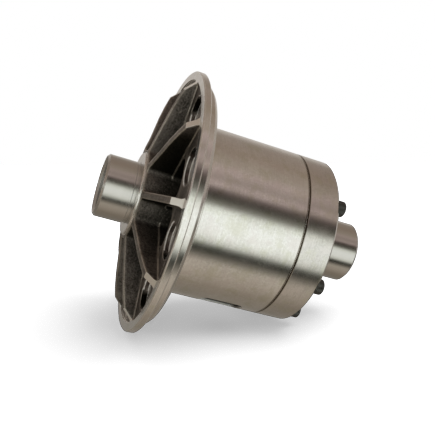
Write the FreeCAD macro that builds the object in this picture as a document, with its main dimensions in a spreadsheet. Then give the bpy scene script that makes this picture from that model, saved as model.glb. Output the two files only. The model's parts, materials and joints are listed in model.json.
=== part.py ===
import FreeCAD, Part
import math
import operator
import os

import Sketcher
from FreeCAD import Placement, Rotation, Vector

# Helical limited-slip differential: a two-piece case holding two side gears and four
# pairs of helical pinions in parallel pockets. X is the rotation axis, the origin is on
# that axis at the ring-gear seat, and the ring-gear flange is on the -X side.

doc = FreeCAD.newDocument("differential_gear")

# ---------------------------------------------------------------- driving dimensions
DIMENSIONS = (
    # journals and axle bores
    ("journal_radius", 20.65, "bearing journal, 41.3 mm (1.625 in) bearing bore"),
    ("left_end", -49.9, "outer end of the flange-side journal"),
    ("right_end", 131.6, "outer end of the cover-side journal"),
    ("axle_radius", 17.5, "bore for the axle shaft"),
    ("bore_chamfer", 1.6, "lead-in of the axle bores"),
    ("journal_chamfer", 1.4, "lead-in of the journals"),
    ("collar_radius", 27.8, "bearing shoulder on both sides"),
    ("left_shoulder", -28.1, "face the flange-side bearing sits against"),
    ("right_shoulder", 106.0, "face the cover-side bearing sits against"),
    ("relief_depth", 0.4, "grinding relief at the journal roots"),
    ("relief_width", 2.4, "grinding relief at the journal roots"),
    # flange
    ("rim_radius", 88.0, "outside of the flange"),
    ("rim_left", -11.3, "rim face on the rib side"),
    ("rim_right", -6.7, "step behind the rim"),
    ("step_radius", 81.4, "band beside the ring-gear seat"),
    ("step_chamfer", 2.0, "chamfer at the ring-gear seat"),
    ("edge_break", 0.6, "broken edges"),
    ("pilot_radius", 58.2, "ring-gear pilot"),
    ("pilot_end", 6.5, "length of the ring-gear pilot"),
    # ribs and pockets
    ("rib_count", 10, "ribs and ring-gear bolts"),
    ("rib_thickness", 4.2, "rib thickness"),
    ("hub_radius", 29.9, "hub between the ribs"),
    ("rib_hub_x", -26.7, "rib edge at the hub"),
    ("rib_low_radius", 46.6, "rib edge, first bend"),
    ("rib_low_x", -23.6, "rib edge, first bend"),
    ("rib_mid_radius", 59.0, "rib edge, second bend"),
    ("rib_mid_x", -21.4, "rib edge, second bend"),
    ("rib_high_radius", 68.6, "rib edge, third bend"),
    ("rib_high_x", -19.2, "rib edge, third bend"),
    ("rib_tip_radius", 75.2, "corner of the rib tip"),
    ("rib_tip_x", -17.3, "corner of the rib tip"),
    ("pocket_radius", 82.4, "outer wall of the rib pockets"),
    ("pocket_corner", 3.2, "corner of the rib pockets at the rim"),
    ("hub_corner", 3.0, "corner of the rib pockets at the hub"),
    ("pad_x", -10.2, "bolt pad face"),
    ("recess_radius", 57.0, "outer wall of the deep recess"),
    ("recess_corner", 8.0, "corner of the deep recess"),
    ("recess_x", 2.0, "floor of the deep recess"),
    ("recess_web", 5.4, "rib thickness in the deep recess"),
    ("spot_radius", 11.5, "spotface for the bolt heads"),
    ("spot_x", -6.2, "spotface floor"),
    ("bolt_circle", 69.5, "radius of the ring-gear bolt circle"),
    ("bolt_hole", 5.15, "radius of the ring-gear bolt holes"),
    ("case_clocking", 10.9, "turn of the rib pattern about the axis"),
    # barrel and gear chamber
    ("barrel_radius", 57.2, "outside of the barrel and of the cover"),
    ("seam_x", 73.0, "joint face between case and cover"),
    ("seam_chamfer", 0.7, "chamfer each side of the joint"),
    ("chamber_x", 12.0, "end wall of the gear chamber"),
    ("chamber_radius", 30.3, "bore around the side gears"),
    ("pinion_pocket", 9.15, "pinion pocket radius"),
    ("pinion_circle", 36.0, "radius the pinion axes stand on"),
    ("pair_angle", -71.0, "first pinion pair and first window"),
    ("pair_half_angle", 12.0247, "half the angle between the pinions of a pair"),
    ("window_x", 45.9, "centre of the windows"),
    ("window_length", 29.0, "windows, along the axis"),
    ("window_width", 20.0, "windows, round the barrel"),
    ("window_corner", 5.0, "corners of the windows"),
    # cover
    ("cover_face", 94.2, "outer face of the cover"),
    ("cover_chamfer", 1.2, "outer edge of the cover"),
    ("screw_circle", 50.6, "circle of the cover screws"),
    ("screw_angle_a", 37.0, "cover screw, first of each half"),
    ("screw_angle_b", -25.0, "cover screw, second of each half"),
    ("screw_angle_c", -62.0, "cover screw, third of each half"),
    ("screw_radius", 2.96, "M6 shank"),
    ("screw_tapped", 3.0, "M6 tapped hole"),
    ("screw_clearance", 3.3, "M6 clearance hole"),
    ("screw_length", 30.0, "length under the head"),
    ("screw_hole_depth", 11.5, "tapped depth in the case"),
    ("head_radius", 5.0, "M6 socket head"),
    ("head_height", 6.0, "M6 socket head"),
    ("head_chamfer", 0.5, "edge of the socket head"),
    ("socket_width", 5.0, "hexagon across flats"),
    ("socket_depth", 3.0, "hexagon depth"),
    ("dowel_radius", 3.0, "locating dowels"),
    ("dowel_clearance", 0.02, "dowel fit, radial"),
    ("dowel_half", 7.0, "dowel length in each piece"),
    ("dowel_angle", 78.0, "first dowel"),
    # gears
    ("tooth_module", 1.5, "transverse module"),
    ("side_teeth", 38, "teeth of a side gear"),
    ("pinion_teeth", 10, "teeth of a pinion"),
    ("side_tip", 29.9, "tip radius of a side gear"),
    ("side_root", 26.6, "root radius of a side gear"),
    ("pinion_tip", 8.9, "tip radius of a pinion"),
    ("pinion_root", 5.6, "root radius of a pinion"),
    ("undercut", 0.45, "undercut at the pinion roots"),
    ("backlash", 0.25, "taken off each tooth at the pitch line"),
    ("helix_angle", 22.0, "helix angle at the pitch line"),
    ("left_gear_start", 14.2, "side gear on the flange side"),
    ("right_gear_start", 50.5, "side gear on the cover side"),
    ("side_width", 20.1, "side gear face width"),
    ("spline_count", 30, "internal axle spline"),
    ("spline_minor", 15.6, "internal axle spline"),
    ("spline_major", 16.7, "internal axle spline"),
    ("pinion_gap", 0.4, "end play of a pinion in its pocket"),
    ("pinion_teeth_length", 37.6, "toothed length of a pinion"),
    ("shank_radius", 5.0, "plain end of a pinion"),
    # thrust washers, centre blocks, spring
    ("washer_thickness", 2.0, "thrust washers"),
    ("washer_play", 0.05, "gap beside the outer thrust washers"),
    ("washer_outer", 25.8, "outside of the thrust washers"),
    ("washer_inner", 17.9, "bore of the outer thrust washers"),
    ("centre_bore", 8.0, "bore of the centre pieces"),
    ("block_radius", 25.0, "outside of the centre blocks"),
    ("block_thickness", 4.6, "centre blocks"),
    ("left_centre_x", 34.4, "start of the centre stack"),
    ("right_centre_x", 50.4, "end of the centre stack"),
    ("stack_gap", 0.05, "gap between the pieces of the centre stack"),
    ("spring_outer", 22.0, "preload spring"),
    ("spring_inner", 12.0, "preload spring"),
    ("spring_thickness", 2.5, "preload spring"),
)

sheet = doc.addObject("Spreadsheet::Sheet", "sizes")
VALUES = {}
for row, (alias, number, note) in enumerate(DIMENSIONS, start=1):
    sheet.set(f"A{row}", note)
    sheet.set(f"B{row}", str(number))
    sheet.setAlias(f"B{row}", alias)
    VALUES[alias] = float(number)
doc.recompute()

OPERATIONS = {"+": operator.add, "-": operator.sub, "*": operator.mul, "/": operator.truediv}


class Size:
    """A number together with the sheet expression that gives it."""

    def __init__(self, value, text):
        self.value = float(value)
        self.text = text

    def combine(self, sign, other):
        right = other if isinstance(other, Size) else Size(other, f"{other:g}")
        value = OPERATIONS[sign](self.value, right.value)
        return Size(value, f"({self.text} {sign} {right.text})")

    def __add__(self, other):
        return self.combine("+", other)

    def __sub__(self, other):
        return self.combine("-", other)

    def __mul__(self, other):
        return self.combine("*", other)

    def __truediv__(self, other):
        return self.combine("/", other)

    def __neg__(self):
        return Size(-self.value, f"(-1 * {self.text})")


ZERO = Size(0, "0")


def dim(alias):
    """The named size from the sheet."""
    return Size(VALUES[alias], f"sizes.{alias}")


def cosine(angle):
    return Size(math.cos(math.radians(angle.value)), f"cos({angle.text} * 1 deg)")


def sine(angle):
    return Size(math.sin(math.radians(angle.value)), f"sin({angle.text} * 1 deg)")


def bind(feature, path, size):
    """Ties one property of a feature to the sheet."""
    feature.setExpression(path, size.text)


# ---------------------------------------------------------------- sketch helpers
def new_body(name):
    body = doc.addObject("PartDesign::Body", name)
    body.Label = name
    return body


def origin_feature(body, role):
    return [item for item in body.Origin.OriginFeatures if item.Role == role][0]


def new_sketch(body, name, plane, offset=None):
    """Sketch on an origin plane of its own body, moved along the plane's normal."""
    sketch = body.newObject("Sketcher::SketchObject", name)
    sketch.AttachmentSupport = [(origin_feature(body, plane), "")]
    sketch.MapMode = "FlatFace"
    if offset is not None:
        sketch.AttachmentOffset = Placement(Vector(0, 0, offset.value), Rotation())
        bind(sketch, "AttachmentOffset.Base.z", offset)
    return sketch


def constrain(sketch, size, *arguments):
    index = sketch.addConstraint(Sketcher.Constraint(*arguments, size.value))
    bind(sketch, f"Constraints[{index}]", size)


def fix_point(sketch, geometry, end, x, y):
    """Ties one point of a sketch to its two coordinates."""
    for kind, axis, size in (("DistanceX", -2, x), ("DistanceY", -1, y)):
        if abs(size.value) < 1e-9:
            sketch.addConstraint(Sketcher.Constraint("PointOnObject", geometry, end, axis))
        else:
            constrain(sketch, size, kind, -1, 1, geometry, end)


def outline(sketch, corners):
    """Closed polygon through corners given as pairs of sizes."""
    points = [Vector(x.value, y.value, 0) for x, y in corners]
    for start, end in zip(points, points[1:] + points[:1]):
        sketch.addGeometry(Part.LineSegment(start, end), False)
    for index, (x, y) in enumerate(corners):
        following = (index + 1) % len(corners)
        sketch.addConstraint(Sketcher.Constraint("Coincident", index, 2, following, 1))
        fix_point(sketch, index, 1, x, y)


def circle(sketch, x, y, radius):
    shape = Part.Circle(Vector(x.value, y.value, 0), Vector(0, 0, 1), radius.value)
    geometry = sketch.addGeometry(shape, False)
    fix_point(sketch, geometry, 3, x, y)
    constrain(sketch, radius, "Radius", geometry)


def polar_circle(sketch, distance, angle, radius):
    circle(sketch, distance * cosine(angle), distance * sine(angle), radius)


def arc_between(centre, start, end):
    """Counter-clockwise arc about a centre."""
    first = math.atan2(start.y - centre.y, start.x - centre.x)
    last = math.atan2(end.y - centre.y, end.x - centre.x)
    if last < first:
        last += 2 * math.pi
    round_shape = Part.Circle(centre, Vector(0, 0, 1), start.distanceToPoint(centre))
    return Part.ArcOfCircle(round_shape, first, last)


def rounded_box(sketch, middle, length, width, corner):
    """Rectangle with round corners, its middle on the sketch's X axis."""
    reach_x, reach_y = length / 2 - corner, width / 2 - corner
    low, high = middle - reach_x, middle + reach_x
    corners = [(high, reach_y), (low, reach_y), (low, -reach_y), (high, -reach_y)]
    ends = []
    for index, (x, y) in enumerate(corners):
        centre = Vector(x.value, y.value, 0)
        start = Rotation(Vector(0, 0, 1), 90 * index).multVec(Vector(corner.value, 0, 0))
        end = Rotation(Vector(0, 0, 1), 90).multVec(start)
        sketch.addGeometry(arc_between(centre, centre + start, centre + end), False)
        fix_point(sketch, index, 3, x, y)
        constrain(sketch, corner, "Radius", index)
        ends.append((centre + start, centre + end))
    for index in range(4):
        following = (index + 1) % 4
        side = Part.LineSegment(ends[index][1], ends[following][0])
        line = sketch.addGeometry(side, False)
        sketch.addConstraint(Sketcher.Constraint("Tangent", index, 2, line, 1))
        sketch.addConstraint(Sketcher.Constraint("Tangent", line, 2, following, 1))


def rib_pocket(sketch, outer, inner, half_rib, outer_corner, inner_corner):
    """Space between two neighbouring ribs, with rounded corners, about the sketch's X axis."""
    half_pitch = Size(180, "180") / dim("rib_count")
    tilt = math.radians(half_pitch.value)
    sides = []
    for side in (-1, 1):
        along = Vector(math.cos(tilt), side * math.sin(tilt), 0)
        across = Vector(math.sin(tilt), -side * math.cos(tilt), 0)
        reach_out = math.sqrt((outer.value - outer_corner.value) ** 2
                              - (half_rib.value + outer_corner.value) ** 2)
        reach_in = math.sqrt((inner.value + inner_corner.value) ** 2
                             - (half_rib.value + inner_corner.value) ** 2)
        far = across * (half_rib.value + outer_corner.value) + along * reach_out
        near = across * (half_rib.value + inner_corner.value) + along * reach_in
        sides.append({
            "far": far,
            "near": near,
            "line_far": across * half_rib.value + along * reach_out,
            "line_near": across * half_rib.value + along * reach_in,
            "rim": far * (outer.value / far.Length),
            "hub": near * (inner.value / near.Length),
        })
    low, high = sides
    centre = Vector(0, 0, 0)
    for shape in (
        Part.LineSegment(low["line_near"], low["line_far"]),
        arc_between(low["far"], low["line_far"], low["rim"]),
        arc_between(centre, low["rim"], high["rim"]),
        arc_between(high["far"], high["rim"], high["line_far"]),
        Part.LineSegment(high["line_far"], high["line_near"]),
        arc_between(high["near"], high["line_near"], high["hub"]),
        arc_between(centre, low["hub"], high["hub"]),
        arc_between(low["near"], low["hub"], low["line_near"]),
    ):
        sketch.addGeometry(shape, False)
    joints = ((0, 2, 1, 1), (1, 2, 2, 1), (2, 2, 3, 1), (3, 2, 4, 1),
              (4, 2, 5, 1), (5, 2, 6, 2), (6, 1, 7, 1), (7, 2, 0, 1))
    for joint in joints:
        sketch.addConstraint(Sketcher.Constraint("Tangent", *joint))
    for arc in (2, 6):
        sketch.addConstraint(Sketcher.Constraint("Coincident", arc, 3, -1, 1))
    for arc, radius in ((1, outer_corner), (3, outer_corner), (5, inner_corner),
                        (7, inner_corner), (2, outer), (6, inner)):
        constrain(sketch, radius, "Radius", arc)
    for line in (0, 4):
        constrain(sketch, half_rib, "Distance", -1, 1, line)
    for line, angle in ((0, -half_pitch), (4, half_pitch - 180)):
        turn = Size(math.radians(angle.value), f"{angle.text} * 1 deg")
        constrain(sketch, turn, "Angle", line)


# ---------------------------------------------------------------- feature helpers
def revolve(body, name, corners):
    """Ring turned about the X axis from its section."""
    sketch = new_sketch(body, f"{name}_section", "XY_Plane")
    outline(sketch, corners)
    feature = body.newObject("PartDesign::Revolution", name)
    feature.Profile = sketch
    feature.ReferenceAxis = (sketch, ["H_Axis"])
    feature.Angle = 360
    body.Tip = feature
    return feature


def cut(body, name, sketch, depth=None, both_ways=False):
    """Pocket towards -X, to a depth or through everything."""
    feature = body.newObject("PartDesign::Pocket", name)
    feature.Profile = sketch
    if depth is None:
        feature.Type = 1
    else:
        feature.Length = depth.value
        bind(feature, "Length", depth)
    if both_ways:
        feature.SideType = "Symmetric"
    sketch.Visibility = False
    body.Tip = feature
    return feature


def around(body, name, feature, count):
    """Repeats a feature evenly about the X axis."""
    pattern = body.newObject("PartDesign::PolarPattern", name)
    pattern.Originals = [feature]
    pattern.Axis = (origin_feature(body, "X_Axis"), [""])
    pattern.Angle = 360
    pattern.Occurrences = int(count.value)
    bind(pattern, "Occurrences", count)
    body.Tip = pattern
    return pattern


def turned_clocking(angle):
    """Sketch angle, in the case's own frame, of a direction given in the common frame."""
    return Size(180, "180") - angle - dim("case_clocking")


SCREW_ANGLES = [dim(alias) + half for half in (0, 180)
                for alias in ("screw_angle_a", "screw_angle_b", "screw_angle_c")]
DOWEL_ANGLES = [dim("dowel_angle"), dim("dowel_angle") + 180]


def screw_pattern(sketch, radius):
    for angle in SCREW_ANGLES:
        polar_circle(sketch, dim("screw_circle"), turned_clocking(angle), radius)


def dowel_pattern(sketch):
    radius = dim("dowel_radius") + dim("dowel_clearance")
    for angle in DOWEL_ANGLES:
        polar_circle(sketch, dim("screw_circle"), turned_clocking(angle), radius)


# ---------------------------------------------------------------- case housing
def build_case():
    body = new_body("case_housing")
    left, journal, chamfer = dim("left_end"), dim("journal_radius"), dim("journal_chamfer")
    axle, lead_in, broken = dim("axle_radius"), dim("bore_chamfer"), dim("edge_break")
    shoulder, collar, rim = dim("left_shoulder"), dim("collar_radius"), dim("rim_radius")
    relief = journal - dim("relief_depth")
    barrel, seam, seam_edge = dim("barrel_radius"), dim("seam_x"), dim("seam_chamfer")
    pilot, pilot_end = dim("pilot_radius"), dim("pilot_end")
    revolve(body, "case_blank", [
        (left, axle + lead_in),
        (left, journal - chamfer),
        (left + chamfer, journal),
        (shoulder - dim("relief_width"), journal),
        (shoulder - dim("relief_width"), relief),
        (shoulder, relief),
        (shoulder, collar - broken),
        (shoulder + broken, collar),
        (dim("rib_hub_x"), collar),
        (dim("rib_hub_x"), dim("hub_radius")),
        (dim("rib_low_x"), dim("rib_low_radius")),
        (dim("rib_mid_x"), dim("rib_mid_radius")),
        (dim("rib_high_x"), dim("rib_high_radius")),
        (dim("rib_tip_x"), dim("rib_tip_radius")),
        (dim("rim_left"), dim("step_radius")),
        (dim("rim_left"), rim - broken),
        (dim("rim_left") + broken, rim),
        (dim("rim_right") - broken, rim),
        (dim("rim_right"), rim - broken),
        (dim("rim_right"), dim("step_radius")),
        (-dim("step_chamfer"), dim("step_radius")),
        (ZERO, dim("step_radius") - dim("step_chamfer")),
        (ZERO, pilot),
        (pilot_end - broken, pilot),
        (pilot_end, barrel),
        (seam - seam_edge, barrel),
        (seam, barrel - seam_edge),
        (seam, dim("chamber_radius")),
        (dim("chamber_x"), dim("chamber_radius")),
        (dim("chamber_x"), axle),
        (left + lead_in, axle),
    ])

    pocket = new_sketch(body, "rib_pocket_section", "YZ_Plane", dim("pad_x"))
    rib_pocket(pocket, dim("pocket_radius"), dim("hub_radius"), dim("rib_thickness") / 2,
               dim("pocket_corner"), dim("hub_corner"))
    around(body, "rib_pockets", cut(body, "rib_pocket", pocket), dim("rib_count"))

    recess = new_sketch(body, "recess_section", "YZ_Plane", dim("recess_x"))
    rib_pocket(recess, dim("recess_radius"), dim("hub_radius"), dim("recess_web") / 2,
               dim("recess_corner"), dim("hub_corner"))
    around(body, "recesses", cut(body, "recess", recess), dim("rib_count"))

    spot = new_sketch(body, "spotface_section", "YZ_Plane", dim("spot_x"))
    circle(spot, dim("bolt_circle"), ZERO, dim("spot_radius"))
    around(body, "spotfaces", cut(body, "spotface", spot), dim("rib_count"))

    bolt = new_sketch(body, "bolt_hole_section", "YZ_Plane", dim("edge_break"))
    circle(bolt, dim("bolt_circle"), ZERO, dim("bolt_hole"))
    around(body, "bolt_holes", cut(body, "bolt_hole", bolt), dim("rib_count"))

    for name, side in (("left", -1), ("right", 1)):
        sketch = new_sketch(body, f"{name}_pinion_pocket_section", "YZ_Plane", seam)
        angle = turned_clocking(dim("pair_angle") + dim("pair_half_angle") * side)
        polar_circle(sketch, dim("pinion_circle"), angle, dim("pinion_pocket"))
        pocket = cut(body, f"{name}_pinion_pocket", sketch, seam - dim("chamber_x"))
        around(body, f"{name}_pinion_pockets", pocket, Size(4, "4"))

    window = new_sketch(body, "window_section", "XY_Plane")
    turn = turned_clocking(dim("pair_angle")) - 90
    window.AttachmentOffset = Placement(Vector(0, 0, 0), Rotation(Vector(1, 0, 0), turn.value))
    bind(window, "AttachmentOffset.Rotation.Angle", turn)
    rounded_box(window, dim("window_x"), dim("window_length"), dim("window_width"),
                dim("window_corner"))
    cut(body, "windows", window, dim("rim_radius") * 2, both_ways=True)

    tapped = new_sketch(body, "tapped_hole_section", "YZ_Plane", seam)
    screw_pattern(tapped, dim("screw_tapped"))
    cut(body, "tapped_holes", tapped, dim("screw_hole_depth"))

    dowel = new_sketch(body, "case_dowel_section", "YZ_Plane", seam)
    dowel_pattern(dowel)
    cut(body, "case_dowel_holes", dowel, dim("dowel_half"))

    body.Placement = Placement(Vector(0, 0, 0),
                               Rotation(Vector(1, 0, 0), VALUES["case_clocking"]))
    return body


# ---------------------------------------------------------------- end cover
def build_cover():
    body = new_body("end_cover")
    right, journal, chamfer = dim("right_end"), dim("journal_radius"), dim("journal_chamfer")
    axle, lead_in, broken = dim("axle_radius"), dim("bore_chamfer"), dim("edge_break")
    shoulder, collar, face = dim("right_shoulder"), dim("collar_radius"), dim("cover_face")
    relief = journal - dim("relief_depth")
    barrel, seam, seam_edge = dim("barrel_radius"), dim("seam_x"), dim("seam_chamfer")
    revolve(body, "cover_blank", [
        (seam, axle),
        (seam, barrel - seam_edge),
        (seam + seam_edge, barrel),
        (face - dim("cover_chamfer"), barrel),
        (face, barrel - dim("cover_chamfer")),
        (face, collar + 2),
        (face + 2, collar),
        (shoulder - broken, collar),
        (shoulder, collar - broken),
        (shoulder, relief),
        (shoulder + dim("relief_width"), relief),
        (shoulder + dim("relief_width"), journal),
        (right - chamfer, journal),
        (right, journal - chamfer),
        (right, axle + lead_in),
        (right - lead_in, axle),
    ])
    clearance = new_sketch(body, "clearance_hole_section", "YZ_Plane", face + 1)
    screw_pattern(clearance, dim("screw_clearance"))
    cut(body, "clearance_holes", clearance)

    dowel = new_sketch(body, "cover_dowel_section", "YZ_Plane", seam + dim("dowel_half"))
    dowel_pattern(dowel)
    cut(body, "cover_dowel_holes", dowel)
    body.Placement = Placement(Vector(0, 0, 0),
                               Rotation(Vector(1, 0, 0), VALUES["case_clocking"]))
    return body


# ---------------------------------------------------------------- screws and dowels
def build_screw():
    """One socket-head screw along X, its head bearing at the origin and its tip at -X."""
    body = new_body("screw_master")
    length, shank, head = dim("screw_length"), dim("screw_radius"), dim("head_radius")
    height, bevel = dim("head_height"), dim("head_chamfer")
    revolve(body, "screw_blank", [
        (-length, ZERO),
        (-length, shank - 1),
        (-length + 1, shank),
        (ZERO, shank),
        (ZERO, head),
        (height - bevel, head),
        (height, head - bevel),
        (height, ZERO),
    ])
    socket = new_sketch(body, "socket_section", "YZ_Plane", height)
    across = dim("socket_width") / Size(math.sqrt(3), "sqrt(3)")
    corners = []
    for step in range(6):
        angle = Size(60 * step, f"{60 * step}")
        corners.append((across * cosine(angle), across * sine(angle)))
    outline(socket, corners)
    cut(body, "socket", socket, dim("socket_depth"))
    return body


def at_angle(distance, angle, x):
    """Point in the common frame; the angle runs from -Y towards +Z."""
    turn = math.radians(angle)
    return Vector(x, -distance * math.cos(turn), distance * math.sin(turn))


def build_screws(master):
    group = doc.addObject("Part::Feature", "cover_screws")
    group.Label = "cover_screws"
    screws = []
    for index, angle in enumerate(SCREW_ANGLES):
        screw = master.Shape.copy()
        place = at_angle(VALUES["screw_circle"], angle.value, VALUES["cover_face"])
        screw.Placement = Placement(place, Rotation(Vector(1, 0, 0), 23 * index))
        screws.append(screw)
    group.Shape = Part.makeCompound(screws)
    return group


def build_dowels():
    group = doc.addObject("Part::Feature", "cover_dowels")
    group.Label = "cover_dowels"
    half = VALUES["dowel_half"] - 0.5
    pins = []
    for angle in DOWEL_ANGLES:
        start = at_angle(VALUES["screw_circle"], angle.value, VALUES["seam_x"] - half)
        pin = Part.makeCylinder(VALUES["dowel_radius"], 2 * half, start, Vector(1, 0, 0))
        ends = [edge for edge in pin.Edges if isinstance(edge.Curve, Part.Circle)]
        pins.append(pin.makeChamfer(0.4, ends))
    group.Shape = Part.makeCompound(pins)
    return group


# ---------------------------------------------------------------- gears
def involute(angle):
    return math.tan(angle) - angle


def tooth_wire(teeth, tip, root, undercut):
    """Transverse outline of a gear, the first tooth centred on the local X axis."""
    pressure = math.radians(20)
    pitch = teeth * VALUES["tooth_module"] / 2
    base = pitch * math.cos(pressure)
    half = math.pi / (2 * teeth) - VALUES["backlash"] / (2 * pitch)
    start = max(base * 1.0005, root)
    radii = [start + (tip - start) * step / 4 for step in range(5)]
    flank = [(r, half + involute(pressure) - involute(math.acos(min(1, base / r))))
             for r in radii]
    low = flank[0][1] - undercut / root
    edges = []

    def place(radius, angle):
        return Vector(radius * math.cos(angle), radius * math.sin(angle), 0)

    for tooth in range(teeth):
        middle = 2 * math.pi * tooth / teeth
        rising = [place(r, middle - angle) for r, angle in flank]
        falling = [place(r, middle + angle) for r, angle in reversed(flank)]
        foot, heel = place(root, middle - low), place(root, middle + low)
        following = place(root, middle + 2 * math.pi / teeth - low)
        gap = place(root, middle + math.pi / teeth)
        for points in (rising, falling):
            curve = Part.BSplineCurve()
            curve.interpolate(points)
            edges.append(curve.toShape())
        edges.append(Part.makeLine(foot, rising[0]))
        edges.append(Part.Arc(rising[-1], place(tip, middle), falling[0]).toShape())
        edges.append(Part.makeLine(falling[-1], heel))
        edges.append(Part.Arc(heel, gap, following).toShape())
    return Part.Wire(Part.__sortEdges__(edges))


def helical_solid(wire, length, pitch_radius, hand):
    """Twists a transverse outline along Z; hand is +1 for a right-hand helix."""
    lead = 2 * math.pi * pitch_radius / math.tan(math.radians(VALUES["helix_angle"]))
    spine = Part.makeHelix(lead, length, 10.0, 0, hand < 0)
    sweep = Part.BRepOffsetAPI.MakePipeShell(Part.Wire(spine.Edges))
    sweep.setFrenetMode(True)
    sweep.add(wire, False, False)
    sweep.build()
    faces = list(sweep.shape().Faces)
    faces.append(Part.Face(wire))
    faces.append(Part.Face(sweep.lastShape()))
    shell = Part.Shell(faces)
    shell.sewShape()
    solid = Part.Solid(shell)
    if solid.Volume < 0:
        solid.reverse()
    return solid


def spline_prism(length):
    """Solid that leaves the internal axle spline when it is cut away."""
    count = int(VALUES["spline_count"])
    minor, major = VALUES["spline_minor"], VALUES["spline_major"]
    pitch = 2 * math.pi / count
    points = []
    for tooth in range(count):
        for radius, share in ((minor, -0.30), (major, -0.17), (major, 0.17), (minor, 0.30)):
            angle = (tooth + share) * pitch
            points.append(Vector(radius * math.cos(angle), radius * math.sin(angle), -1))
    face = Part.Face(Part.makePolygon(points + points[:1]))
    return face.extrude(Vector(0, 0, length + 2))


def lay_along_x(feature, position, roll):
    """Lays a gear built along Z on the X axis, turned by an angle about its own axis."""
    upright = Rotation(Vector(0, 1, 0), 90).multiply(Rotation(Vector(0, 0, 1), roll))
    feature.Placement = Placement(position, upright)


def gear_turn(teeth, distance, hand):
    """Degrees a tooth turns over a distance along its gear."""
    pitch_radius = teeth * VALUES["tooth_module"] / 2
    twist = distance * math.tan(math.radians(VALUES["helix_angle"])) / pitch_radius
    return hand * math.degrees(twist)


def facing(angle):
    """Turn about a gear's own axis that points its first tooth along a common angle."""
    return -90 - angle


def partner_tooth(tooth, teeth, partner_teeth, direction):
    """Turn that puts a partner's gap opposite a tooth, across a line between the centres."""
    share = (tooth - direction) * teeth / 360
    return direction + 180 + (0.5 - share) * 360 / partner_teeth


def centre_line(start_angle, end_angle):
    """Direction from one pinion axis to another on the pinion circle."""
    radius = VALUES["pinion_circle"]
    step = at_angle(radius, end_angle, 0) - at_angle(radius, start_angle, 0)
    return math.degrees(math.atan2(step.z, -step.y))


def side_gear(name, start, hand, tooth):
    feature = doc.addObject("Part::Feature", name)
    feature.Label = name
    teeth = int(VALUES["side_teeth"])
    wire = tooth_wire(teeth, VALUES["side_tip"], VALUES["side_root"], 0)
    pitch_radius = teeth * VALUES["tooth_module"] / 2
    blank = helical_solid(wire, VALUES["side_width"], pitch_radius, hand)
    feature.Shape = blank.cut(spline_prism(VALUES["side_width"]))
    lay_along_x(feature, Vector(start, 0, 0), tooth)
    return feature


def pinion(name, shape, start, angle, tooth):
    feature = doc.addObject("Part::Feature", name)
    feature.Label = name
    feature.Shape = shape.copy()
    lay_along_x(feature, at_angle(VALUES["pinion_circle"], angle, start), tooth)
    return feature


def pinion_shape(hand, shank_first):
    """Toothed length with a plain shank on one end, starting at the local origin."""
    teeth = int(VALUES["pinion_teeth"])
    toothed = VALUES["pinion_teeth_length"]
    whole = VALUES["seam_x"] - VALUES["chamber_x"] - 2 * VALUES["pinion_gap"]
    wire = tooth_wire(teeth, VALUES["pinion_tip"], VALUES["pinion_root"], VALUES["undercut"])
    solid = helical_solid(wire, toothed, teeth * VALUES["tooth_module"] / 2, hand)
    if shank_first:
        solid.translate(Vector(0, 0, whole - toothed))
    return solid.fuse(Part.makeCylinder(VALUES["shank_radius"], whole))


def build_gears():
    """Side gears and pinions, each turned so that its teeth stand in its partner's gaps."""
    side_teeth, pinion_teeth = int(VALUES["side_teeth"]), int(VALUES["pinion_teeth"])
    left_start, right_start = VALUES["left_gear_start"], VALUES["right_gear_start"]
    first = VALUES["chamber_x"] + VALUES["pinion_gap"]
    second = VALUES["seam_x"] - VALUES["pinion_gap"] - VALUES["pinion_teeth_length"]
    left_shape, right_shape = pinion_shape(-1, False), pinion_shape(1, True)
    gears = [side_gear("left_side_gear", left_start, 1, 0.0)]
    for pair in range(4):
        middle = VALUES["pair_angle"] + 90 * pair
        left_angle = middle - VALUES["pair_half_angle"]
        right_angle = middle + VALUES["pair_half_angle"]
        side_tooth = gear_turn(side_teeth, first - left_start, 1)
        left_tooth = partner_tooth(side_tooth, side_teeth, pinion_teeth, facing(left_angle))
        across = facing(centre_line(left_angle, right_angle))
        meshing = left_tooth + gear_turn(pinion_teeth, second - first, -1)
        right_tooth = partner_tooth(meshing, pinion_teeth, pinion_teeth, across)
        gears.append(pinion(f"left_pinion_{pair + 1}", left_shape, first, left_angle,
                            left_tooth))
        gears.append(pinion(f"right_pinion_{pair + 1}", right_shape, first, right_angle,
                            right_tooth))
        if pair == 0:
            tooth = right_tooth + gear_turn(pinion_teeth, right_start - second, 1)
            inward = facing(right_angle) + 180
            side = partner_tooth(tooth, pinion_teeth, side_teeth, inward)
            gears.append(side_gear("right_side_gear", right_start, -1, side))
    return gears


# ---------------------------------------------------------------- washers and spring
def build_ring(name, start, thickness, inner, outer, broken=0.3):
    """Flat ring about the X axis with broken outer edges."""
    body = new_body(name)
    end = start + thickness
    revolve(body, f"{name}_ring", [
        (start, inner),
        (start, outer - broken),
        (start + broken, outer),
        (end - broken, outer),
        (end, outer - broken),
        (end, inner),
    ])
    return body


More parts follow.
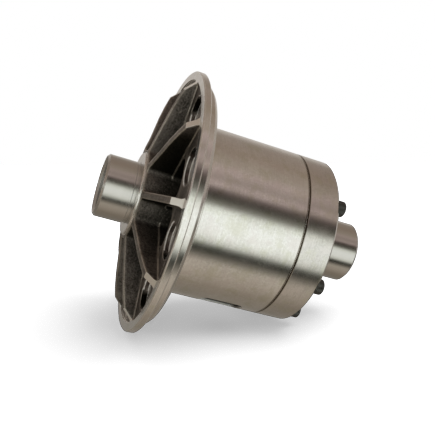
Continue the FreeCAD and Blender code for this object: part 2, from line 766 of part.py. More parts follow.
def build_rings():
    thickness, play, gap = dim("washer_thickness"), dim("washer_play"), dim("stack_gap")
    outer, inner, bore = dim("washer_outer"), dim("washer_inner"), dim("centre_bore")
    block, block_outer = dim("block_thickness"), dim("block_radius")
    left, right = dim("left_centre_x") + gap, dim("right_centre_x") - gap
    left_block = left + thickness + gap
    right_block = right - thickness - gap - block
    spring_start = left_block + block + gap
    return [
        build_ring("left_thrust_washer", dim("chamber_x") + play, thickness, inner, outer),
        build_ring("right_thrust_washer", dim("seam_x") - play - thickness, thickness,
                   inner, outer),
        build_ring("left_centre_washer", left, thickness, bore, outer),
        build_ring("right_centre_washer", right - thickness, thickness, bore, outer),
        build_ring("left_centre_block", left_block, block, bore, block_outer),
        build_ring("right_centre_block", right_block, block, bore, block_outer),
        build_ring("preload_spring", spring_start, dim("spring_thickness"),
                   dim("spring_inner"), dim("spring_outer")),
    ]


# ---------------------------------------------------------------- build and write
def main():
    case = build_case()
    cover = build_cover()
    master = build_screw()
    rings = build_rings()
    doc.recompute()
    parts = [case, cover, build_screws(master), build_dowels()] + rings + build_gears()
    doc.recompute()
    faults = []
    for item in doc.Objects:
        if "Invalid" in item.State or "Error" in item.State:
            faults.append(f"{item.Label}: {item.State}")
    for item in parts:
        if item.Shape.isNull() or not item.Shape.isValid():
            faults.append(f"{item.Label}: shape is not valid")
    if faults:
        raise RuntimeError("; ".join(faults))
    os.makedirs("parts", exist_ok=True)
    for item in parts:
        item.Shape.exportStep(f"parts/{item.Label}.step")
        box = item.Shape.BoundBox
        print(f"{item.Label}: {item.Shape.Volume:.1f} mm3, {len(item.Shape.Solids)} solid(s), "
              f"x {box.XMin:.2f}..{box.XMax:.2f}")


main()
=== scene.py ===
import json
import math

import bmesh
import bpy
from mathutils import Matrix, Vector


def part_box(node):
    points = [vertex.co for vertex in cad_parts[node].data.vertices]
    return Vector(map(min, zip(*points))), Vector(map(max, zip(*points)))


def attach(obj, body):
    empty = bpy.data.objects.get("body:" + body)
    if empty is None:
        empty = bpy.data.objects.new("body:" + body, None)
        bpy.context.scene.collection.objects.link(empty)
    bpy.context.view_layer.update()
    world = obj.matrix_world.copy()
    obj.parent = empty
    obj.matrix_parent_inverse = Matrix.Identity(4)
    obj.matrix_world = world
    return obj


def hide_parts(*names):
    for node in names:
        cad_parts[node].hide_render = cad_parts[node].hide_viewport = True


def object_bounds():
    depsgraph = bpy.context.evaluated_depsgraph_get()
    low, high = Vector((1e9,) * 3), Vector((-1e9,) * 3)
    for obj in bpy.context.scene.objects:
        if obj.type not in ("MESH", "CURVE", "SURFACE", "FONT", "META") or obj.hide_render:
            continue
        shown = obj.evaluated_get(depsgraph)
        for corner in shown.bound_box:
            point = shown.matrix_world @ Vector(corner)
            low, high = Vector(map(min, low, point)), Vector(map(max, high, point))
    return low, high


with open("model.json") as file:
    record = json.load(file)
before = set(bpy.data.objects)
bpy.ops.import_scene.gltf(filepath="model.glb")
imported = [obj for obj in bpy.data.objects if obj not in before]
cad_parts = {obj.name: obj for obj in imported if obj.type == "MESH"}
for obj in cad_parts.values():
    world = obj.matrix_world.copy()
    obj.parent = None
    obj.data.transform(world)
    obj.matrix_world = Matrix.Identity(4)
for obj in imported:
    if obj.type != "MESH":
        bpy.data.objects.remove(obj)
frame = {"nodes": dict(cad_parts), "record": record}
cad_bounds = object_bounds()
nodes = frame["nodes"]
scene = bpy.context.scene
scene.view_settings.view_transform = "Standard"

MM = 0.001

# ---------------------------------------------------------------- sizes from the frame
CASE_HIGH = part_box("case_housing")[1]
COVER_LOW, COVER_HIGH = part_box("end_cover")
SCREWS_LOW, SCREWS_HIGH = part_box("cover_screws")
HEAD_HEIGHT = 6 * MM
COVER_FACE_X = SCREWS_HIGH.x - HEAD_HEIGHT
FLANGE_RADIUS = CASE_HIGH.z
BARREL_RADIUS = COVER_HIGH.z


# ---------------------------------------------------------------- node helpers
class Nodes:
    """Adds nodes to one node tree; the methods for sums, mixes and masks return sockets.

    A mask is a number from 0 to 1.
    """

    def __init__(self, tree):
        self.tree = tree

    def feed(self, socket, value):
        """Links a socket, or sets it to a plain value."""
        if isinstance(value, bpy.types.NodeSocket):
            self.tree.links.new(value, socket)
        else:
            socket.default_value = value

    def node(self, kind, **inputs):
        made = self.tree.nodes.new(kind)
        for key, value in inputs.items():
            self.feed(made.inputs[key.replace("_", " ")], value)
        return made

    def math(self, operation, first, second=0.0):
        made = self.tree.nodes.new("ShaderNodeMath")
        made.operation = operation
        self.feed(made.inputs[0], first)
        self.feed(made.inputs[1], second)
        return made.outputs[0]

    def vector(self, operation, first, second=(0.0, 0.0, 0.0)):
        """Length or dot product, as a number."""
        made = self.tree.nodes.new("ShaderNodeVectorMath")
        made.operation = operation
        self.feed(made.inputs[0], first)
        self.feed(made.inputs[1], second)
        return made.outputs["Value"]

    def total(self, *shares):
        """Sum of (socket, weight) pairs."""
        weighted = [self.math("MULTIPLY", socket, weight) for socket, weight in shares]
        made = weighted[0]
        for more in weighted[1:]:
            made = self.math("ADD", made, more)
        return made

    def remap(self, value, low, high, to_low=0.0, to_high=1.0):
        made = self.node("ShaderNodeMapRange", Value=value, From_Min=low, From_Max=high,
                         To_Min=to_low, To_Max=to_high)
        return made.outputs[0]

    def join(self, kind, first_input, output, factor, first, second):
        """Mix node; each kind of value has its own pair of inputs and its own output."""
        made = self.tree.nodes.new("ShaderNodeMix")
        made.data_type = kind
        self.feed(made.inputs[0], factor)
        self.feed(made.inputs[first_input], first)
        self.feed(made.inputs[first_input + 1], second)
        return made.outputs[output]

    def blend(self, factor, first, second):
        """Between two numbers."""
        return self.join("FLOAT", 2, 0, factor, first, second)

    def lean(self, factor, first, second):
        """Between two normals."""
        return self.join("VECTOR", 4, 1, factor, first, second)

    def mix(self, factor, first, second):
        """Between two colours."""
        return self.join("RGBA", 6, 2, factor, first, second)

    def over(self, value, limit):
        return self.math("GREATER_THAN", value, limit)

    def under(self, value, limit):
        return self.math("LESS_THAN", value, limit)

    def flip(self, mask):
        return self.math("SUBTRACT", 1.0, mask)

    def both(self, *masks):
        made = masks[0]
        for mask in masks[1:]:
            made = self.math("MULTIPLY", made, mask)
        return made

    def either(self, *masks):
        made = masks[0]
        for mask in masks[1:]:
            made = self.math("MAXIMUM", made, mask)
        return made

    def within(self, value, limits):
        return self.both(self.over(value, limits[0]), self.under(value, limits[1]))

    def distance(self, value, place):
        return self.math("ABSOLUTE", self.math("SUBTRACT", value, place))

    def near(self, value, place, reach):
        return self.under(self.distance(value, place), reach)

    def angle_round_x(self, y, z):
        """Angle from -Y towards +Z, in radians."""
        return self.math("ARCTAN2", z, self.math("MULTIPLY", y, -1.0))


class Shader(Nodes):
    """One material.

    x runs along the rotation axis and radius is the distance from it. turn is the angle round it,
    and facing is the upward part of the normal.
    """

    def __init__(self, name):
        self.material = bpy.data.materials.new(name)
        self.material.use_nodes = True
        super().__init__(self.material.node_tree)
        self.surface = self.tree.nodes["Principled BSDF"]
        coordinates = self.node("ShaderNodeTexCoord").outputs
        self.place = coordinates["Object"]
        self.x, self.y, self.z = self.node("ShaderNodeSeparateXYZ", Vector=self.place).outputs
        self.facing = self.node("ShaderNodeSeparateXYZ", Vector=coordinates["Normal"]).outputs["Z"]
        across = self.node("ShaderNodeCombineXYZ", Y=self.y, Z=self.z).outputs[0]
        self.radius = self.vector("LENGTH", across)
        self.turn = self.angle_round_x(self.y, self.z)

    def set(self, **inputs):
        for key, value in inputs.items():
            self.feed(self.surface.inputs[key.replace("_", " ")], value)
        return self.material

    def cone(self, first, second):
        """x, at this radius, of the cone through two (x, radius) points."""
        slope = (second[0] - first[0]) / (second[1] - first[1])
        rise = self.math("MULTIPLY", self.radius, slope)
        return self.math("ADD", rise, first[0] - first[1] * slope)

    def noise(self, scale, detail=3.0, roughness=0.5, place=None):
        made = self.node("ShaderNodeTexNoise", Scale=scale, Detail=detail, Roughness=roughness,
                         Vector=self.place if place is None else place)
        return made.outputs["Fac"]

    def stretched(self, along, around):
        """Coordinates stretched round the X axis, for marks left by turning."""
        run = self.math("ADD", self.x, self.radius)
        made = self.node("ShaderNodeCombineXYZ", X=self.math("MULTIPLY", run, along),
                         Y=self.math("MULTIPLY", self.y, around),
                         Z=self.math("MULTIPLY", self.z, around))
        return made.outputs[0]

    def rounded(self, radius):
        """Normal with sharp edges rounded, in the shading only."""
        made = self.node("ShaderNodeBevel", Radius=radius)
        made.samples = 4
        return made.outputs[0]

    def edges(self, radius):
        """1 on sharp edges and 0 on flat ground."""
        normal = self.node("ShaderNodeNewGeometry").outputs["Normal"]
        return self.remap(self.vector("DOT_PRODUCT", normal, self.rounded(radius)), 0.985, 0.86)

    def bump(self, height, distance, strength, normal=None):
        made = self.node("ShaderNodeBump", Height=height, Distance=distance, Strength=strength)
        if normal is not None:
            self.feed(made.inputs["Normal"], normal)
        return made.outputs[0]


def rgb(red, green, blue):
    return (red, green, blue, 1.0)


# ---------------------------------------------------------------- colours and finishes
TURNED_LIGHT = rgb(0.670, 0.660, 0.645)
TURNED_DARK = rgb(0.570, 0.555, 0.535)
COVER_LIGHT = rgb(0.585, 0.570, 0.550)
COVER_DARK = rgb(0.490, 0.470, 0.455)
STAIN = rgb(0.530, 0.520, 0.445)
BLUSH = rgb(0.600, 0.565, 0.550)
GROOVE = rgb(0.120, 0.100, 0.075)
CAST_LIGHT = rgb(0.225, 0.198, 0.178)
CAST_DARK = rgb(0.085, 0.075, 0.066)
# Painted shade colour, for the recesses, surfaces facing down, the spotfaces at each end and the
# window walls.
CAST_PAINTED_SHADE = rgb(0.018, 0.018, 0.012)
# Pale cast tone: real flecks, and the painted highlights on the rib crests and on the pad's inner
# edge.
CAST_CREST = rgb(0.360, 0.320, 0.280)
# Worn cast edges, made lighter also as a painted highlight.
CAST_WORN_AND_HIGHLIGHT = rgb(0.700, 0.640, 0.560)
JOURNAL_STEEL = rgb(0.480, 0.465, 0.445)
BORE_STEEL = rgb(0.560, 0.500, 0.460)
SPOTFACE_STEEL = rgb(0.330, 0.295, 0.275)
# Painted highlight colour for sharp edges, spotface rings and rib tips.
EDGE_HIGHLIGHT = rgb(0.950, 0.920, 0.880)
OXIDE_DARK = rgb(0.038, 0.039, 0.036)
OXIDE_LIGHT = rgb(0.062, 0.064, 0.060)
# Worn oxide on the screw edges, also a painted highlight.
OXIDE_WORN_AND_HIGHLIGHT = rgb(0.200, 0.200, 0.185)

CASE_ROUGHNESS = 0.165
COVER_ROUGHNESS = 0.18
JOURNAL_EXTRA_ROUGHNESS = 0.05
SPOTFACE_ROUGHNESS = 0.25
WINDOW_ROUGHNESS = 0.4
BORE_ROUGHNESS = 0.5
EDGE_ROUGHNESS = 0.5
CAST_ROUGHNESS = 0.56
WORN_ROUGHNESS = 0.38
OXIDE_ROUGHNESS = (0.3, 0.38)
OXIDE_METALLIC = 0.9

# Noise scales, in cells to the metre. The stretched pairs are along and around the axis.
CLOUD_SCALE = 48.0
GRAIN_SCALE = 720.0
TINT_SCALE = 110.0
PATCH_SCALE = 70.0
SPECK_SCALE = 850.0
FLECK_SCALE = 1150.0
SAND_SCALE = 620.0
WANDER_SCALE = 420.0
OXIDE_SCALE = 400.0
OXIDE_GRAIN_SCALE = 1800.0
FLOOR_SCALE = 3.0
LINE_SCALES = (4200.0, 30.0)
STREAK_SCALES = (1300.0, 85.0)

# The most that each effect counts for, from 0 to 1.
TINT_SHARE = 0.6
RECESS_SHADE_SHARE = 0.62
FLECK_SHARE = 0.5
CREST_HIGHLIGHT_SHARE = 0.15
UNDERSIDE_SHADE_SHARE = 0.92
LIP_HIGHLIGHT_SHARE = 0.5
TIP_HIGHLIGHT_SHARE = 0.6
PALE_SHARE = 0.9

# Reach of the rounding, of the wear and of the painted highlights at sharp edges, and depth of the
# relief.
TURNED_HIGHLIGHT_REACH = 0.8 * MM
CAST_WEAR_AND_HIGHLIGHT_REACH = 1.5 * MM
OXIDE_WEAR_AND_HIGHLIGHT_REACH = 0.3 * MM
CASE_ROUNDING = 0.4 * MM
STEEL_ROUNDING = 0.3 * MM
CAST_ROUNDING = 2.6 * MM
LINE_DEPTH = 0.02 * MM
SAND_DEPTH = 0.6 * MM
OXIDE_DEPTH = 0.1 * MM

# Light tone, dark tone and roughness of the steels that have no special places.
PLAIN_STEELS = {
    "pin_steel": (rgb(0.66, 0.66, 0.66), rgb(0.58, 0.58, 0.58), 0.16),
    "gear_steel": (rgb(0.60, 0.585, 0.56), rgb(0.48, 0.46, 0.43), 0.24),
    "washer_steel": (rgb(0.46, 0.44, 0.41), rgb(0.36, 0.34, 0.32), 0.3),
    "block_steel": (rgb(0.44, 0.42, 0.40), rgb(0.34, 0.32, 0.30), 0.32),
    "spring_steel": (rgb(0.26, 0.27, 0.30), rgb(0.17, 0.18, 0.21), 0.28),
}

# ---------------------------------------------------------------- places on the case
# Points are (x, radius); spans run along x and radii outwards. A fade goes from its first
# number, where it is nothing, to its second, where it is full.
CAST_RADII = (28.3 * MM, 82.7 * MM)
CAST_SPAN = (-27.4 * MM, 2.6 * MM)
EDGE_WANDER = 0.2 * MM
PAD_X = -10.2 * MM
RECESS_RADIUS = 57.0 * MM
LIP_RADIUS = RECESS_RADIUS + 1.4 * MM
LIP_FADE = (3.4 * MM, 1.6 * MM)
CREST_FADE = (2.4 * MM, 0.3 * MM)
# Painted shade in the recesses of the flange and on its surfaces that face down.
RECESS_SHADE_SLOPE = -0.25
RECESS_SHADE_FADE = (-33 * MM, -19 * MM)
RECESS_SHADE_RADIUS_FADE = (84 * MM, 60 * MM)
UNDERSIDE_FACING_FADE = (-0.15, -0.75)
UNDERSIDE_RADIUS_FADE = (78 * MM, 66 * MM)
RIB_ROOT = (-26.7 * MM, 29.9 * MM)
RIB_TIP = (-17.3 * MM, 75.2 * MM)
RIM_LAND = (-11.3 * MM, 81.4 * MM)
BORE_RADIUS = 18.6 * MM
JOURNAL_RADIUS = 21.2 * MM
LEFT_SHOULDER_X = -20 * MM
GROOVE_RADIUS = BARREL_RADIUS - 5 * MM
SPOTFACE_X = -6.2 * MM
SPOTFACE_RADII = (57.5 * MM, 81.2 * MM)
SPOTFACE_SPAN = (PAD_X + 0.2 * MM, SPOTFACE_X + 0.1 * MM)
SPOTFACE_END_FADE = (9.4 * MM, 10.8 * MM)
BOLT_STEP = math.radians(36)
BOLT_TURN = math.radians(25.1)
WINDOW_RADII = (45.3 * MM, BARREL_RADIUS - 0.3 * MM)
WINDOW_SPAN = (30 * MM, 61.4 * MM)
WINDOW_SHADE_FADE = (BARREL_RADIUS - 0.9 * MM, BARREL_RADIUS - 1.5 * MM)
CASE_GROOVE_FADE = (CASE_HIGH.x - 1.7 * MM, CASE_HIGH.x - 1.1 * MM)
COVER_GROOVE_FADE = (COVER_LOW.x + 0.7 * MM, COVER_LOW.x + 0.4 * MM)


# ---------------------------------------------------------------- materials
def turned_finish(shader, light, dark, roughness):
    """Colour, roughness and height of a turned steel surface."""
    cloud = shader.noise(CLOUD_SCALE, 5.0, 0.7)
    lines = shader.noise(1.0, 2.0, 0.6, shader.stretched(*LINE_SCALES))
    streaks = shader.noise(1.0, 3.0, 0.6, shader.stretched(*STREAK_SCALES))
    grain = shader.noise(GRAIN_SCALE, 3.0, 0.7)
    tone = shader.total((cloud, 0.36), (streaks, 0.26), (grain, 0.38))
    colour = shader.mix(shader.remap(tone, 0.41, 0.59), dark, light)
    tint = shader.noise(TINT_SCALE, 3.0, 0.6)
    colour = shader.mix(shader.remap(tint, 0.5, 0.66, 0.0, TINT_SHARE), colour, STAIN)
    colour = shader.mix(shader.remap(tint, 0.5, 0.36, 0.0, TINT_SHARE), colour, BLUSH)
    rough = shader.remap(tone, 0.4, 0.6, roughness + 0.05, roughness - 0.03)
    return colour, rough, shader.total((lines, 1.0), (streaks, 2.2))


def cast_finish(shader):
    """Colour, roughness and height of the sand-cast surface between the ribs; its colour holds
    painted shade and highlights.
    """
    patches = shader.noise(PATCH_SCALE, 3.0, 0.6)
    specks = shader.noise(SPECK_SCALE, 2.0, 0.55)
    tone = shader.total((patches, 0.5), (specks, 0.5))
    colour = shader.mix(shader.remap(tone, 0.41, 0.59), CAST_DARK, CAST_LIGHT)

    # Painted shade: darker further into the recess along x and nearer the hub.
    sunk = shader.total((shader.x, 1.0), (shader.radius, RECESS_SHADE_SLOPE))
    depth = shader.both(shader.remap(sunk, *RECESS_SHADE_FADE, 0.0, RECESS_SHADE_SHARE),
                        shader.remap(shader.radius, *RECESS_SHADE_RADIUS_FADE))
    colour = shader.mix(depth, colour, CAST_PAINTED_SHADE)

    fleck = shader.noise(FLECK_SCALE, 2.0, 0.6)
    flecks = shader.remap(fleck, 0.6, 0.7, 0.0, FLECK_SHARE)
    colour = shader.mix(flecks, colour, CAST_CREST)

    # Painted highlight: the rib crests are made lighter.
    from_crest = shader.math("SUBTRACT", shader.x, shader.cone(RIB_ROOT, RIB_TIP))
    crest = shader.remap(from_crest, *CREST_FADE, 0.0, CREST_HIGHLIGHT_SHARE)
    colour = shader.mix(crest, colour, CAST_CREST)

    # Painted shade: surfaces that face down are darkened, less so out towards the rim.
    downward = shader.remap(shader.facing, *UNDERSIDE_FACING_FADE, 0.0, UNDERSIDE_SHADE_SHARE)
    underside_shade = shader.both(downward, shader.remap(shader.radius, *UNDERSIDE_RADIUS_FADE))
    colour = shader.mix(underside_shade, colour, CAST_PAINTED_SHADE)

    # Painted highlight: a lighter band along the pad's inner edge above the recess.
    from_lip = shader.distance(shader.radius, LIP_RADIUS)
    lip_highlight = shader.both(shader.remap(from_lip, *LIP_FADE),
                      shader.over(shader.x, PAD_X - 1 * MM))
    colour = shader.mix(shader.both(lip_highlight, LIP_HIGHLIGHT_SHARE), colour, CAST_CREST)

    # Sharp rib edges made lighter: partly wear, partly a painted highlight; inner corners get it
    # too.
    wear_and_highlight = shader.both(shader.edges(CAST_WEAR_AND_HIGHLIGHT_REACH), shader.remap(patches, 0.3, 0.55, 0.35, 1.0),
                       shader.flip(lip_highlight))
    colour = shader.mix(wear_and_highlight, colour, CAST_WORN_AND_HIGHLIGHT)
    rough = shader.blend(wear_and_highlight, CAST_ROUGHNESS, WORN_ROUGHNESS)
    return colour, rough, shader.noise(SAND_SCALE, 3.0, 0.6)


def rib_masks(shader):
    """Masks for the as-cast surface between the ribs and for the turned tips of the ribs."""
    wavy = shader.noise(WANDER_SCALE, 2.0)
    wander = shader.remap(wavy, 0.3, 0.7, -EDGE_WANDER, EDGE_WANDER)
    radius = shader.math("ADD", shader.radius, wander)
    place_x = shader.math("ADD", shader.x, wander)
    tip = shader.both(shader.near(shader.x, shader.cone(RIB_TIP, RIM_LAND), 0.4 * MM),
                      shader.over(shader.radius, RIB_TIP[1] - 0.2 * MM))
    land = shader.both(shader.near(shader.x, RIM_LAND[0], 0.25 * MM),
                       shader.over(shader.radius, RIM_LAND[1] - 0.3 * MM))
    sunk = shader.either(shader.under(place_x, PAD_X + 0.3 * MM),
                         shader.under(radius, RECESS_RADIUS + 0.3 * MM))
    cast = shader.both(shader.within(radius, CAST_RADII), shader.within(place_x, CAST_SPAN), sunk,
                       shader.flip(shader.either(tip, land)))
    return cast, tip


def spotface_masks(shader):
    """Masks for the spotfaces, for the painted shade at each end of them and for the painted
    highlight rings on their walls.
    """
    past_bolt = shader.math("SUBTRACT", shader.turn, BOLT_TURN)
    from_bolt = shader.math("PINGPONG", past_bolt, BOLT_STEP / 2)
    aside = shader.math("MULTIPLY", from_bolt, shader.radius)
    spotface = shader.both(shader.within(shader.radius, SPOTFACE_RADII),
                           shader.within(shader.x, SPOTFACE_SPAN))
    # Rings on the spotface walls, which get a painted highlight.
    rings = shader.either(shader.near(shader.x, SPOTFACE_X - 0.5 * MM, 0.25 * MM),
                          shader.near(shader.x, PAD_X + 0.6 * MM, 0.4 * MM))
    ring = shader.both(rings, shader.under(aside, SPOTFACE_END_FADE[0]), spotface)
    return spotface, shader.remap(aside, *SPOTFACE_END_FADE), ring


def case_material():
    """Turned steel, with cast ribs, spotfaces, windows, bore and journal picked out, and painted
    shade and highlights.
    """
    shader = Shader("case_steel")
    colour, rough, lines = turned_finish(shader, TURNED_LIGHT, TURNED_DARK, CASE_ROUGHNESS)
    cast_colour, cast_rough, sand = cast_finish(shader)
    cast, tip = rib_masks(shader)
    spotface, shaded_ends, ring = spotface_masks(shader)

    groove = shader.both(shader.remap(shader.x, *CASE_GROOVE_FADE),
                         shader.over(shader.radius, GROOVE_RADIUS))
    colour = shader.mix(groove, colour, GROOVE)

    bore = shader.under(shader.radius, BORE_RADIUS)
    colour = shader.mix(bore, colour, BORE_STEEL)
    rough = shader.blend(bore, rough, BORE_ROUGHNESS)

    # Spotfaces in their own steel, with painted shade darkening them at each end.
    colour = shader.mix(spotface, colour, shader.mix(shaded_ends, SPOTFACE_STEEL, CAST_PAINTED_SHADE))
    rough = shader.blend(spotface, rough, SPOTFACE_ROUGHNESS)

    window = shader.both(shader.within(shader.radius, WINDOW_RADII),
                         shader.within(shader.x, WINDOW_SPAN))
    # Painted shade: the window walls darken from just under the outer surface inwards.
    inside = shader.remap(shader.radius, *WINDOW_SHADE_FADE)
    colour = shader.mix(shader.both(window, inside), colour, CAST_PAINTED_SHADE)
    rough = shader.blend(window, rough, WINDOW_ROUGHNESS)

    # Painted highlight: pale lines on the sharp edges, on the spotface rings and on the turned rib
    # tips.
    sharp = shader.edges(TURNED_HIGHLIGHT_REACH)
    bright = shader.either(sharp, ring, shader.both(tip, TIP_HIGHLIGHT_SHARE))
    colour = shader.mix(bright, colour, EDGE_HIGHLIGHT)
    rough = shader.blend(bright, rough, EDGE_ROUGHNESS)

    journal = shader.both(shader.under(shader.x, LEFT_SHOULDER_X),
                          shader.under(shader.radius, JOURNAL_RADIUS))
    colour = shader.mix(journal, colour, JOURNAL_STEEL)
    rough = shader.total((rough, 1.0), (journal, JOURNAL_EXTRA_ROUGHNESS))

    # Painted highlight: the spotface rings and spotface edges lose their metal and become pale
    # paint, so they show bright.
    pale = shader.both(shader.either(ring, shader.both(sharp, spotface)), PALE_SHARE)
    turned_normal = shader.bump(lines, LINE_DEPTH, 0.35, shader.rounded(CASE_ROUNDING))
    cast_normal = shader.bump(sand, SAND_DEPTH, 0.9, shader.rounded(CAST_ROUNDING))
    return shader.set(Base_Color=shader.mix(cast, colour, cast_colour),
                      Roughness=shader.blend(cast, rough, cast_rough),
                      Metallic=shader.flip(pale),
                      Normal=shader.lean(cast, turned_normal, cast_normal))


def finish_turned(shader, colour, rough, lines):
    """The settings that the cover and the plain steels share."""
    normal = shader.bump(lines, LINE_DEPTH, 0.3, shader.rounded(STEEL_ROUNDING))
    return shader.set(Base_Color=colour, Roughness=rough, Metallic=1.0, Normal=normal)


def cover_material():
    """Turned steel with a dark groove at the joint and a darker journal."""
    shader = Shader("cover_steel")
    colour, rough, lines = turned_finish(shader, COVER_LIGHT, COVER_DARK, COVER_ROUGHNESS)
    groove = shader.both(shader.remap(shader.x, *COVER_GROOVE_FADE),
                         shader.over(shader.radius, GROOVE_RADIUS))
    colour = shader.mix(groove, colour, GROOVE)
    journal = shader.both(shader.over(shader.x, COVER_FACE_X + 1 * MM),
                          shader.under(shader.radius, JOURNAL_RADIUS))
    colour = shader.mix(journal, colour, JOURNAL_STEEL)
    return finish_turned(shader, colour, rough, lines)


def plain_steel(name):
    """Turned steel in one tone."""
    shader = Shader(name)
    return finish_turned(shader, *turned_finish(shader, *PLAIN_STEELS[name]))


def black_oxide():
    """Dark oxide film, worn to a paler line on the edges, a line that is also a painted highlight.
    """
    shader = Shader("black_steel")
    cloud = shader.noise(OXIDE_SCALE, 3.0, 0.6)
    colour = shader.mix(shader.remap(cloud, 0.38, 0.62), OXIDE_DARK, OXIDE_LIGHT)
    # Paler edges: worn oxide and a painted highlight.
    colour = shader.mix(shader.edges(OXIDE_WEAR_AND_HIGHLIGHT_REACH), colour, OXIDE_WORN_AND_HIGHLIGHT)
    rough = shader.remap(cloud, 0.3, 0.7, *OXIDE_ROUGHNESS)
    normal = shader.bump(shader.noise(OXIDE_GRAIN_SCALE, 2.0), OXIDE_DEPTH, 0.5)
    return shader.set(Base_Color=colour, Roughness=rough, Metallic=OXIDE_METALLIC, Normal=normal)


MATERIALS = {name: plain_steel(name) for name in PLAIN_STEELS}
MATERIALS["case_steel"] = case_material()
MATERIALS["cover_steel"] = cover_material()
MATERIALS["black_steel"] = black_oxide()

slot_of = {part["node"]: part["material_slot"] for part in frame["record"]["subparts"]}
for name, node in nodes.items():
    node.data.materials.clear()
    node.data.materials.append(MATERIALS[slot_of[name]])


# ---------------------------------------------------------------- knurled screws
KNURLS = 36
RING_POINTS = KNURLS * 2
KNURL_DEPTH = 0.14 * MM
HEAD_RADIUS = 5.0 * MM
NECK_RADIUS = HEAD_RADIUS - 0.1 * MM
SHANK_RADIUS = 2.96 * MM
HEXAGON = 5.0 * MM / math.sqrt(3)
SOCKET_DEPTH = 3.0 * MM
SCREW_TURN = 0.4


def screw_centres():
    """(y, z) of each screw's axis, from the separate solids of the CAD node."""
    shape = bmesh.new()
    shape.from_mesh(nodes["cover_screws"].data)
    bmesh.ops.remove_doubles(shape, verts=shape.verts, dist=1e-6)
    left = set(shape.verts)
    centres = []
    while left:
        island = {left.pop()}
        frontier = list(island)
        while frontier:
            for link in frontier.pop().link_edges:
                for vertex in link.verts:
                    if vertex in left:
                        left.remove(vertex)
                        island.add(vertex)
                        frontier.append(vertex)
        ys = [vertex.co.y for vertex in island]
        zs = [vertex.co.z for vertex in island]
        centres.append(((min(ys) + max(ys)) / 2, (min(zs) + max(zs)) / 2))
    shape.free()
    return sorted(centres)


def plain_ring(x, radius, turn, root_depth=0.0):
    """Points round a screw; every second one is pulled in by the root depth."""
    points = []
    for step in range(RING_POINTS):
        angle = turn + math.pi * step / KNURLS
        reach = radius - root_depth * (step % 2)
        points.append((x, reach * math.cos(angle), reach * math.sin(angle)))
    return points


def knurled_ring(x, turn):
    """Points round a screw's head that alternate between crest and root."""
    return plain_ring(x, HEAD_RADIUS, turn, KNURL_DEPTH)


def hex_ring(x, scale, turn):
    """Hexagon with the same number of points as the other rings."""
    points = []
    for step in range(RING_POINTS):
        angle = math.pi * step / KNURLS
        inside = (angle + math.pi / 6) % (math.pi / 3) - math.pi / 6
        radius = HEXAGON * scale * math.cos(math.pi / 6) / math.cos(inside)
        points.append((x, radius * math.cos(angle + turn), radius * math.sin(angle + turn)))
    return points


def screw_rings(turn):
    """Rings of one screw, from the tip of the shank to the bottom of the socket."""
    tip, face, top = SCREWS_LOW.x, COVER_FACE_X, SCREWS_HIGH.x
    half_knurl = math.pi / KNURLS
    return [
        plain_ring(tip, SHANK_RADIUS - 1 * MM, turn),
        plain_ring(tip + 1 * MM, SHANK_RADIUS, turn),
        plain_ring(face, SHANK_RADIUS, turn),
        plain_ring(face, HEAD_RADIUS - 0.4 * MM, turn),
        plain_ring(face + 0.4 * MM, NECK_RADIUS, turn),
        plain_ring(face + 0.8 * MM, NECK_RADIUS, turn),
        knurled_ring(face + 0.8 * MM, turn),
        knurled_ring(face + HEAD_HEIGHT / 2, turn + half_knurl),
        knurled_ring(top - 1.0 * MM, turn),
        plain_ring(top - 1.0 * MM, NECK_RADIUS, turn),
        plain_ring(top - 0.6 * MM, HEAD_RADIUS - 0.15 * MM, turn),
        plain_ring(top, HEAD_RADIUS - 0.9 * MM, turn),
        hex_ring(top, 1.14, turn),
        hex_ring(top - 0.4 * MM, 1.0, turn),
        hex_ring(top - SOCKET_DEPTH, 1.0, turn),
    ]


def add_screws():
    """Socket-head screws with knurled heads, in the places of the CAD screws."""
    shape = bmesh.new()
    for index, (y, z) in enumerate(screw_centres()):
        made = [[shape.verts.new((px, py + y, pz + z)) for px, py, pz in ring]
                for ring in screw_rings(SCREW_TURN * index)]
        for first, second in zip(made, made[1:]):
            for step in range(RING_POINTS):
                after = (step + 1) % RING_POINTS
                shape.faces.new((first[step], first[after], second[after], second[step]))
        shape.faces.new(list(reversed(made[0])))
        shape.faces.new(made[-1])
    bmesh.ops.recalc_face_normals(shape, faces=shape.faces)
    mesh = bpy.data.meshes.new("knurled_screws")
    shape.to_mesh(mesh)
    shape.free()
    mesh.materials.append(MATERIALS["black_steel"])
    screws = bpy.data.objects.new("knurled_screws", mesh)
    scene.collection.objects.link(screws)
    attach(screws, "case")
    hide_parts("cover_screws")


# ---------------------------------------------------------------- camera
CAMERA_PLACE = Vector((-0.0853, -0.4080, 0.0410))
CAMERA_RIGHT = Vector((0.92549, -0.23753, 0.29502))
CAMERA_UP = Vector((-0.25904, 0.17132, 0.95055))
LENS_MM = 51.52
SENSOR_MM = 36.0
CLIP_RANGE = (0.01, 10.0)


def add_camera():
    """Camera at the photo's viewing angle."""
    data = bpy.data.cameras.new("camera")
    data.lens = LENS_MM
    data.sensor_width = SENSOR_MM
    data.clip_start, data.clip_end = CLIP_RANGE
    camera = bpy.data.objects.new("camera", data)
    scene.collection.objects.link(camera)
    right, up = CAMERA_RIGHT.normalized(), CAMERA_UP.normalized()
    turn = Matrix((right, up, right.cross(up))).transposed()
    camera.matrix_world = Matrix.Translation(CAMERA_PLACE) @ turn.to_4x4()
    scene.camera = camera


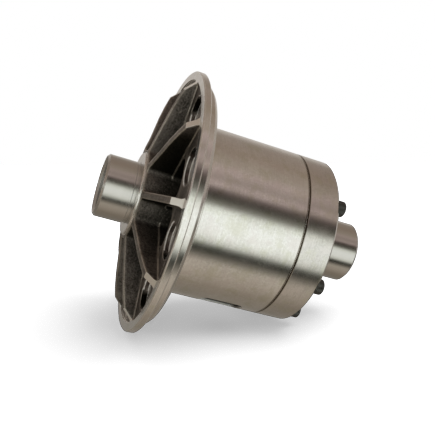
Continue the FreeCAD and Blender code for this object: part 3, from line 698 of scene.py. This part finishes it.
# ---------------------------------------------------------------- floor, light and studio
FLOOR_DARK = rgb(0.85, 0.85, 0.85)
FLOOR_LIGHT = rgb(0.9, 0.9, 0.9)
FLOOR_ROUGHNESS = 0.8
FLOOR_CLEARNESS = 0.13
FLOOR_HALF = 1.2
FLOOR_GAP = 0.3 * MM
RIM_REST = Vector((-9 * MM, 0, -FLANGE_RADIUS))
COVER_REST = Vector((COVER_FACE_X - 1 * MM, 0, -BARREL_RADIUS))
LIGHT_HEIGHT = 0.9
LIGHT_SHIFT = Vector((0.35, -0.1, 0))
LIGHT_SIZE = 1.0
LIGHT_POWER = 5.0

# Brightness of the studio round the X axis: degrees from -Y towards +Z, then red, green, blue.
# The bright front from -28 to 14 makes the long highlight, and the gaps at -41 and 31 make the
# dark bands beside it.
STUDIO = (
    (-180, 0.60, 0.56, 0.52),
    (-168, 0.31, 0.29, 0.26),
    (-135, 0.27, 0.24, 0.20),
    (-100, 0.33, 0.28, 0.22),
    (-75, 0.52, 0.45, 0.37),
    (-58, 0.60, 0.54, 0.45),
    (-49, 0.24, 0.22, 0.18),
    (-41, 0.03, 0.03, 0.025),
    (-34, 0.10, 0.10, 0.08),
    (-28, 0.90, 0.92, 0.82),
    (-18, 1.30, 1.34, 1.26),
    (3, 1.36, 1.41, 1.35),
    (14, 1.15, 1.20, 1.08),
    (22, 0.22, 0.21, 0.17),
    (31, 0.05, 0.045, 0.035),
    (39, 0.12, 0.09, 0.08),
    (47, 0.66, 0.54, 0.50),
    (56, 0.40, 0.33, 0.29),
    (69, 0.58, 0.47, 0.43),
    (80, 0.46, 0.39, 0.32),
    (105, 0.38, 0.30, 0.24),
    (140, 0.38, 0.32, 0.27),
    (158, 0.62, 0.57, 0.52),
    (180, 0.62, 0.58, 0.54),
)


def floor_material():
    """Pale matt paint, partly clear so that the shadow stays light."""
    shader = Shader("floor_paint")
    tone = shader.remap(shader.noise(FLOOR_SCALE), 0.3, 0.7, 0.86, 0.9)
    shader.set(Base_Color=shader.mix(tone, FLOOR_DARK, FLOOR_LIGHT), Roughness=FLOOR_ROUGHNESS)
    clear = shader.node("ShaderNodeBsdfTransparent")
    mixed = shader.node("ShaderNodeMixShader")
    shader.feed(mixed.inputs[0], FLOOR_CLEARNESS)
    shader.feed(mixed.inputs[1], shader.surface.outputs[0])
    shader.feed(mixed.inputs[2], clear.outputs[0])
    shader.feed(shader.tree.nodes["Material Output"].inputs[0], mixed.outputs[0])
    return shader.material


def add_floor():
    """Floor touching the flange rim and the cover's edge; returns its upward normal."""
    along = (COVER_REST - RIM_REST).normalized()
    side = Vector((0, 1, 0))
    normal = along.cross(side).normalized()
    middle = RIM_REST - normal * FLOOR_GAP
    corners = [middle + along * (a * FLOOR_HALF) + side * (b * FLOOR_HALF)
               for a, b in ((-1, -1), (1, -1), (1, 1), (-1, 1))]
    mesh = bpy.data.meshes.new("floor")
    mesh.from_pydata(corners, [], [(0, 1, 2, 3)])
    mesh.materials.append(floor_material())
    floor = bpy.data.objects.new("floor", mesh)
    scene.collection.objects.link(floor)
    floor.is_shadow_catcher = True
    floor.visible_glossy = False
    return normal


def add_light(floor_normal):
    """Soft overhead disk that doesn't show in reflections."""
    centre = (cad_bounds[0] + cad_bounds[1]) / 2
    data = bpy.data.lights.new("overhead", "AREA")
    data.shape = "DISK"
    data.size = LIGHT_SIZE
    data.energy = LIGHT_POWER
    light = bpy.data.objects.new("overhead", data)
    light.location = centre + floor_normal * LIGHT_HEIGHT + LIGHT_SHIFT
    light.rotation_mode = "QUATERNION"
    light.rotation_quaternion = (centre - light.location).to_track_quat("-Z", "Y")
    light.visible_glossy = False
    light.visible_camera = False
    scene.collection.objects.link(light)


def add_studio():
    """White to the camera; to everything else a tent with a bright front and dark gaps."""
    world = bpy.data.worlds.new("studio")
    scene.world = world
    world.use_nodes = True
    world.node_tree.nodes.clear()
    sky = Nodes(world.node_tree)
    place = sky.node("ShaderNodeTexCoord").outputs["Generated"]
    split = sky.node("ShaderNodeSeparateXYZ", Vector=place).outputs
    turn = sky.angle_round_x(split["Y"], split["Z"])
    ramp = sky.node("ShaderNodeValToRGB")
    sky.feed(ramp.inputs[0], sky.remap(turn, -math.pi, math.pi))
    elements = ramp.color_ramp.elements
    while len(elements) > 1:
        elements.remove(elements[-1])
    for index, (degrees, red, green, blue) in enumerate(STUDIO):
        position = (degrees + 180) / 360
        element = elements[0] if index == 0 else elements.new(position)
        element.position = position
        element.color = rgb(red, green, blue)
    mixed = sky.node("ShaderNodeMixShader")
    camera_ray = sky.node("ShaderNodeLightPath").outputs["Is Camera Ray"]
    sky.feed(mixed.inputs[0], camera_ray)
    sky.feed(mixed.inputs[1], sky.node("ShaderNodeBackground", Color=ramp.outputs[0]).outputs[0])
    sky.feed(mixed.inputs[2], sky.node("ShaderNodeBackground", Color=rgb(1, 1, 1)).outputs[0])
    sky.node("ShaderNodeOutputWorld", Surface=mixed.outputs[0])


add_screws()
add_camera()
add_light(add_floor())
add_studio()
